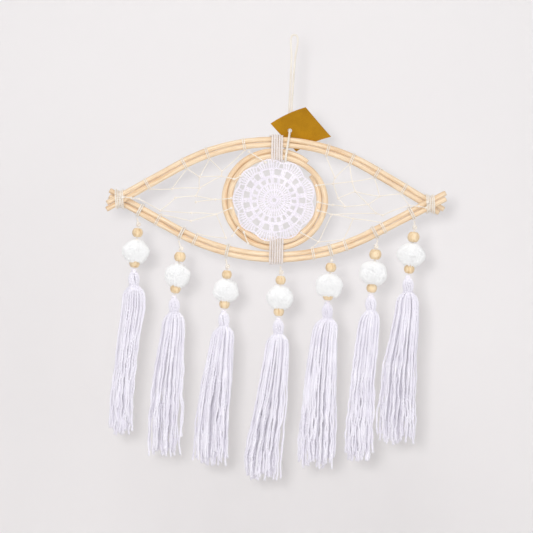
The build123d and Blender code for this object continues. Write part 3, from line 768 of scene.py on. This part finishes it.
def chain_ring(radius, stitches, height=0.5):
    """A round of chain: two strands that braid round the doily."""
    angle = np.linspace(0, 360, stitches * 8 + 1)
    drift = 0.25 * np.sin(np.radians(angle) * 5 + stitches)
    for sign in (-1, 1):
        wave = np.sin(np.radians(angle) * stitches / 2) * height * sign
        reach = radius(angle) if callable(radius) else radius
        doily_builder.tube(on_doily(reach + wave + drift * 0.6, angle, 0.25 * sign),
                           THREAD_RADIUS, 5)


def jitter(amount):
    """A small hand-made error."""
    return doily_rng.uniform(-amount, amount)


chain_ring(2.7, 12, 0.4)
for index in range(20):
    angle = index * 18 + jitter(1.5)
    stitch_post(3.4, 9.4 + jitter(0.3), angle, angle + jitter(2), 0.5)
chain_ring(10.0, 40)
for index in range(40):
    angle = index * 9 + jitter(1.0)
    stitch_post(10.6, 16.2 + jitter(0.2), angle, angle + jitter(1.2), 0.45)
chain_ring(16.8, 60)
for index in range(20):
    angle = index * 18 + 4 + jitter(1.5)
    stitch_post(17.4, 22.3, angle - 2.2, angle - 1.8 + jitter(1.2), 0.55)
    stitch_post(17.4, 22.3, angle + 2.2, angle + 1.8 + jitter(1.2), 0.55)
chain_ring(22.8, 70)
chain_ring(24.1, 76)
for index in range(17):
    angle = index * 360 / 17 + 9 + jitter(1.5)
    for step in (-1, 0, 1):
        stitch_post(24.7, 31.0, angle + step * 3.4, angle + step * 3.0 + jitter(0.8), 0.5)
chain_ring(31.6, 90)
for shell in range(9):
    tip = 178 - shell * 40 + jitter(1.0)
    for step in range(-4, 5):
        base = tip + step * 3.7 + jitter(0.4)
        end = tip + step * 4.35 + jitter(0.5)
        stitch_post(32.2, edge_radius(end) - 0.9, base, end, 0.6)
chain_ring(lambda angle: np.array([edge_radius(a) for a in angle]) - 0.3, 96)
doily_piece = doily_builder.make("doily_crochet", crochet_cotton, "frame", ["doily"])

# ---- strands -------------------------------------------------------------------------------------
# number, hitch across, knot, knot radius, neck, drops of pom-pom and lower bead, tassel length,
# half widths near the top, half way down and near the ends, leans there, yarns, pom-pom radii
STRANDS = (
    (1, -135.0, (-136.9, -22.7), 2.4, (-141.4, -69.7), 27.8, 39.2, 160.0,
     (12.2, 11.6, 12.6), (-0.8, -7.7, -12.3), 44, (12.7, 11.5)),
    (2, -93.0, (-94.0, -47.0), 2.4, (-101.0, -96.2), 27.4, 40.7, 154.0,
     (11.8, 15.8, 17.4), (-1.8, -7.3, -9.7), 56, (12.0, 11.7)),
    (3, -47.0, (-47.5, -65.0), 2.4, (-51.2, -110.5), 24.6, 37.7, 149.5,
     (13.0, 18.8, 20.6), (-2.6, -7.8, -11.8), 66, (12.0, 11.2)),
    (4, 5.4, (6.1, -70.8), 2.4, (3.3, -118.0), 25.7, 39.3, 156.0,
     (12.4, 17.5, 20.4), (-1.8, -8.4, -16.4), 62, (12.6, 11.2)),
    (5, 56.0, (56.5, -59.3), 1.6, (52.2, -102.0), 25.2, 35.2, 160.5,
     (13.4, 18.0, 20.8), (-3.2, -6.8, -9.2), 66, (12.9, 11.8)),
    (6, 100.0, (101.0, -45.2), 2.4, (95.7, -94.5), 26.9, 41.6, 160.0,
     (11.3, 12.8, 14.6), (-3.4, -9.0, -12.2), 50, (13.2, 11.6)),
    (7, 136.5, (139.5, -26.0), 2.4, (132.8, -76.0), 27.9, 41.9, 161.5,
     (12.2, 17.5, 20.5), (-0.8, -7.6, -10.7), 60, (13.3, 11.3)),
)
LASHED_STRAND = 4          # it hangs from the lower lashing and needs no hitch of its own
HITCH = 1.8
STUB = 1.0
BODY_GAP = 0.3
NECK = 3.0
WAIST_DROP = 13.8          # from the neck to where the skirt begins
LOWER_BEAD = 10.5
PILE_FIBRES = 5200
YARN = 2.35
HEAD_YARN = 2.2
HEAD_YARNS = 15
HEAD_WRAP = 1.5


def build_pompom(number, centre, down, bead_place, radii, seed):
    """A pom-pom: a soft core and a dense pile of short fibres that part round the bead."""
    rng = np.random.default_rng(seed)
    side = np.cross(down, (0, 1, 0))
    side /= np.linalg.norm(side)
    front = np.cross(down, side)
    wide, high = radii

    def surface(directions, lift):
        """Points over the flattened ball, in a lumpy outline."""
        lumps = (0.35 * np.sin(directions[:, 0] * 5 + seed) * np.cos(directions[:, 1] * 4)
                 + 0.3 * np.sin(directions[:, 2] * 6 + seed * 2))
        across = directions[:, :2] * wide + directions[:, :2] * (lift + lumps)[:, None]
        deep = directions[:, 2] * high + directions[:, 2] * (lift + lumps)
        return (centre + side * across[:, :1] + front * across[:, 1:2] + down * deep[:, None])

    rows, columns = 28, 40
    tilt, turn = np.meshgrid(np.linspace(0.02, math.pi - 0.02, rows),
                             np.arange(columns) * 2 * math.pi / columns, indexing="ij")
    flat = np.stack([np.sin(tilt) * np.cos(turn), np.sin(tilt) * np.sin(turn), np.cos(tilt)],
                    -1).reshape(-1, 3)
    core = surface(flat, np.full(len(flat), -2.0))
    away = core - bead_place
    distance = np.linalg.norm(away, axis=1)
    inside = distance < LOWER_BEAD / 2 + 0.5
    core[inside] = (bead_place + away[inside] / distance[inside][:, None]
                    * (LOWER_BEAD / 2 + 0.5))
    grid_row, grid_column = np.meshgrid(np.arange(rows - 1), np.arange(columns), indexing="ij")
    following = (grid_column + 1) % columns
    quads = np.stack([grid_row * columns + grid_column, (grid_row + 1) * columns + grid_column,
                      (grid_row + 1) * columns + following, grid_row * columns + following],
                     -1).reshape(-1, 4)
    caps = [(0, i + 1, i) for i in range(1, columns - 1)]
    last = (rows - 1) * columns
    caps += [(last, last + i, last + i + 1) for i in range(1, columns - 1)]
    builder = Builder()
    builder.faces(core, quads, np.array(caps)[:, [0, 2, 1]])
    index = np.arange(PILE_FIBRES)
    z = 1 - 2 * (index + 0.5) / PILE_FIBRES
    angle = index * GOLDEN_ANGLE
    flat = np.stack([np.sqrt(1 - z * z) * np.cos(angle), np.sqrt(1 - z * z) * np.sin(angle), z],
                    -1)
    base = surface(flat, np.full(PILE_FIBRES, -2.4))
    tip = surface(flat, rng.uniform(-1.0, 0.9, PILE_FIBRES))
    tip = tip + rng.normal(0, 0.55, (PILE_FIBRES, 3))
    clear = np.linalg.norm(tip - bead_place, axis=1) > LOWER_BEAD / 2 + 0.4
    clear &= np.linalg.norm(base - bead_place, axis=1) > LOWER_BEAD / 2 + 0.4
    base, tip = base[clear], tip[clear]
    outward = tip - base
    outward /= np.linalg.norm(outward, axis=1)[:, None]
    first = np.cross(outward, rng.normal(0, 1, outward.shape))
    first /= np.linalg.norm(first, axis=1)[:, None]
    second = np.cross(outward, first)
    middle = (base + tip) / 2 + rng.normal(0, 0.18, base.shape)
    corners = []
    for place, size in ((base, 0.34), (middle, 0.30), (tip, 0.16)):
        for corner in range(3):
            spin = corner * 2 * math.pi / 3
            corners.append(place + (first * math.cos(spin) + second * math.sin(spin)) * size)
    points = np.stack(corners, 1).reshape(-1, 3)
    start = np.arange(len(base))[:, None] * 9
    sides = [(0, 1, 4, 3), (1, 2, 5, 4), (2, 0, 3, 5), (3, 4, 7, 6), (4, 5, 8, 7), (5, 3, 6, 8)]
    quads = np.concatenate([start + np.array(s) for s in sides])
    ends = np.concatenate([start + np.array((6, 7, 8)), start + np.array((2, 1, 0))])
    builder.faces(points, quads, ends)
    builder.make(f"pompom_{number}_pile", pompom_fibre, f"pompom_{number}_body",
                 [f"pompom_{number}"])


def build_tassel(number, neck, length, widths, leans, yarns, seed):
    """A tassel: a collar, a bound head of folded yarn, and loose two-ply yarns below."""
    rng = np.random.default_rng(seed)
    builder = Builder()
    add_knot(builder, neck, 2.9, 2.1)
    # the head: yarns that run over the neck and in to the waist
    drops = np.array([0.6, 2.4, 5.0, 8.2, 11.4, 13.8])
    reach = np.array([1.6, 3.3, 4.5, 4.9, 4.4, 3.5])
    fine = np.linspace(drops[0], drops[-1], 14)
    head_reach = np.interp(fine, drops, reach)
    for index in range(HEAD_YARNS):
        angle = 2 * math.pi * index / HEAD_YARNS + rng.uniform(-0.08, 0.08)
        swirl = angle + (fine - drops[0]) * 0.03
        points = np.column_stack([head_reach * np.cos(swirl), head_reach * np.sin(swirl), -fine])
        builder.plied(neck + resampled(points, 0.9), HEAD_YARN, 2, 6.0, 5,
                      phase=rng.uniform(0, 6))
    turn = np.linspace(0, 3.2 * 2 * math.pi, 90)
    wrap = np.column_stack([4.5 * np.cos(turn), 4.5 * np.sin(turn), -13.0 - turn * 0.33])
    builder.plied(neck + wrap, HEAD_WRAP, 2, 4.0, 5)
    # the skirt
    skirt = length - WAIST_DROP
    shoulder, middle, hem = widths
    shares = np.array([0.0, 0.015, 0.04, 0.08, 0.15, 0.5, 0.85, 1.0, 1.1])
    half = np.array([3.4, 5.2, 0.8 * shoulder, 0.95 * shoulder, shoulder, middle, hem,
                     hem * 0.97, hem * 0.97])
    drift = np.array([0.0, 0.0, leans[0] * 0.3, leans[0] * 0.6, leans[0], leans[1], leans[2],
                      leans[2] * 1.04, leans[2] * 1.04])
    clumps = rng.uniform(-1, 1, (7, 2)) * 0.75
    for index in range(yarns):
        reach_share = math.sqrt((index + 0.5) / yarns) * 0.98
        angle = index * GOLDEN_ANGLE + rng.uniform(-0.2, 0.2)
        spot = np.array((math.cos(angle), math.sin(angle))) * reach_share
        clump = clumps[np.argmin(np.linalg.norm(clumps - spot, axis=1))]
        pull = rng.uniform(0.02, 0.26)
        yarn = skirt * (1 + rng.normal(-0.015, 0.03))
        if rng.uniform() < 0.12:
            yarn *= rng.uniform(0.86, 0.95)
        yarn = min(yarn, skirt * 1.03)
        down = np.linspace(0, yarn, int(yarn / 3))
        share = down / skirt
        spread = np.interp(share, shares, half)
        depth = np.minimum(spread * 0.9, np.maximum(spread * 0.52, 6.0))
        gather = pull * np.clip((share - 0.1) / 0.5, 0, 1)
        where = spot[None, :] * (1 - gather[:, None]) + clump[None, :] * gather[:, None]
        wander = np.clip(share * 1.4, 0.1, 1.0)
        wave = (rng.uniform(0.3, 0.9) * np.sin(down / rng.uniform(6, 15) + rng.uniform(0, 6.3))
                + rng.uniform(0.25, 0.7) * np.sin(down / rng.uniform(2.2, 4) + rng.uniform(0, 6.3)))
        wave_deep = rng.uniform(0.3, 0.9) * np.sin(down / rng.uniform(2.5, 9) + rng.uniform(0, 6.3))
        stray = rng.normal(0, 1.9) * np.clip(share - 0.15, 0, 1)
        across = np.interp(share, shares, drift) + where[:, 0] * spread + wave * wander + stray
        deep = where[:, 1] * depth + wave_deep * wander
        points = np.column_stack([across, deep, -WAIST_DROP - down])
        smooth = resampled(curve_points(neck + points), 1.3)
        builder.plied(smooth, YARN, 2, rng.uniform(6.6, 8.0), 5, phase=rng.uniform(0, 6),
                      start_u=rng.uniform(0, 5), fray=0.5)
    builder.make(f"tassel_{number}_yarns", tassel_cotton, f"tassel_{number}_body",
                 [f"tassel_{number}"])


hitch_builder = Builder()
for (number, hitch_across, knot_flat, knot_radius, neck_flat, pompom_drop, lower_drop,
     tassel_length, widths, leans, yarns, pompom_radii) in STRANDS:
    depth = lower_bow.place(hitch_across)[0][1]
    knot = EYE + np.array((knot_flat[0], depth, knot_flat[1]))
    neck = EYE + np.array((neck_flat[0], depth, neck_flat[1]))
    if number == LASHED_STRAND:
        stub = EYE + np.array((hitch_across, 0, LASHING_FOOT - 2.3 / 2 - BODY_GAP - STUB))
    else:
        stub = (loop_edge(lower_bow, hitch_across, HITCH, 1)
                - UP * (HITCH / 2 + BODY_GAP + STUB))
        pair_loop(hitch_builder, lower_bow, hitch_across, HITCH, 2, 1.9)
    down = (neck - knot) / np.linalg.norm(neck - knot)
    knot_builder = Builder()
    above = resampled(np.array([stub + (stub - knot) * 0.05, knot]), 0.6)
    knot_builder.plied(above, 2.0, 2, 5.0, 6)
    add_knot(knot_builder, knot, knot_radius + 0.2, 1.8, down)
    knot_builder.make(f"strand_knot_{number}_tied", cord_cotton, f"knot_{number}",
                      [f"strand_knot_{number}"])
    cord_builder = Builder()
    length = np.linalg.norm(neck - knot)
    ends = [knot + down * (knot_radius + BODY_GAP), knot + down * (length - NECK - BODY_GAP)]
    cord_builder.plied(resampled(np.array(ends), 0.8), CORD, 3, 7.0, 6)
    cord_builder.make(f"strand_cord_{number}_twisted", cord_cotton, f"strand_{number}",
                      [f"strand_cord_{number}"])
    build_pompom(number, knot + down * pompom_drop, down, knot + down * lower_drop,
                 pompom_radii, number)
    build_tassel(number, neck, tassel_length, widths, leans, yarns, 100 + number)
    for node in (f"upper_bead_{number}", f"lower_bead_{number}"):
        for material_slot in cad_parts[node].material_slots:
            material_slot.material = bead_material
hitch_builder.make("strand_hitches_twisted", cord_cotton, "frame", ["strand_hitches"])
for material_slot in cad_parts["hang_tag"].material_slots:
    material_slot.material = card_material


# ---- wall, floor and light -----------------------------------------------------------------------
def stage_plane(name, corners, material):
    """A flat piece of the set."""
    mesh = bpy.data.meshes.new(name)
    mesh.from_pydata(corners, [], [(0, 1, 2, 3)])
    mesh.materials.append(material)
    plane = bpy.data.objects.new(name, mesh)
    bpy.context.scene.collection.objects.link(plane)


WALL_Y = 0.3      # behind everything that the joints can swing back, in metres
WALL_HALF = 1.2
WALL_TOP = 0.9
FLOOR_HALF = 3
FLOOR_Z = -0.9
wall_material = plain("wall_paint", colour(243, 240, 240), 0.9)
# seen from behind the wall is clear, so that the object's back can be looked at
tree = wall_material.node_tree
wall_shader = tree.nodes["Principled BSDF"]
clear = tree.nodes.new("ShaderNodeBsdfTransparent")
facing = tree.nodes.new("ShaderNodeNewGeometry")
either = tree.nodes.new("ShaderNodeMixShader")
tree.links.new(facing.outputs["Backfacing"], either.inputs[0])
tree.links.new(wall_shader.outputs[0], either.inputs[1])
tree.links.new(clear.outputs[0], either.inputs[2])
tree.links.new(either.outputs[0], tree.nodes["Material Output"].inputs["Surface"])
stage_plane("wall", [(-WALL_HALF, WALL_Y, FLOOR_Z), (WALL_HALF, WALL_Y, FLOOR_Z),
                     (WALL_HALF, WALL_Y, WALL_TOP), (-WALL_HALF, WALL_Y, WALL_TOP)], wall_material)
stage_plane("floor", [(-FLOOR_HALF, -FLOOR_HALF, FLOOR_Z), (FLOOR_HALF, -FLOOR_HALF, FLOOR_Z),
                      (FLOOR_HALF, FLOOR_HALF, FLOOR_Z), (-FLOOR_HALF, FLOOR_HALF, FLOOR_Z)],
            plain("floor_paint", colour(240, 238, 235), 0.9))


def area_light(name, place, target, size, power, tint=(1.0, 1.0, 1.0)):
    """A soft square light that faces a point."""
    data = bpy.data.lights.new(name, "AREA")
    data.energy = power
    data.size = size
    data.color = tint
    light = bpy.data.objects.new(name, data)
    light.location = place
    aim = Vector(target) - Vector(place)
    light.rotation_euler = aim.to_track_quat("-Z", "Y").to_euler()
    bpy.context.scene.collection.objects.link(light)


middle = (-0.03, 0.0, -0.23)
area_light("shadow", (-0.08, -1.3, -0.195), middle, 0.07, 5.6)
area_light("key", (-0.3, -1.3, 1.0), middle, 0.8, 10.5, (1.0, 0.995, 0.99))
area_light("fill", (1.3, -1.7, 0.1), middle, 1.4, 6, (0.97, 0.99, 1.0))
area_light("back", (0.7, 1.6, 0.6), middle, 1.2, 9)
world = bpy.data.worlds.new("studio")
world.use_nodes = True
world.node_tree.nodes["Background"].inputs["Color"].default_value = (0.97, 0.97, 1.0, 1.0)
world.node_tree.nodes["Background"].inputs["Strength"].default_value = 0.42
bpy.context.scene.world = world
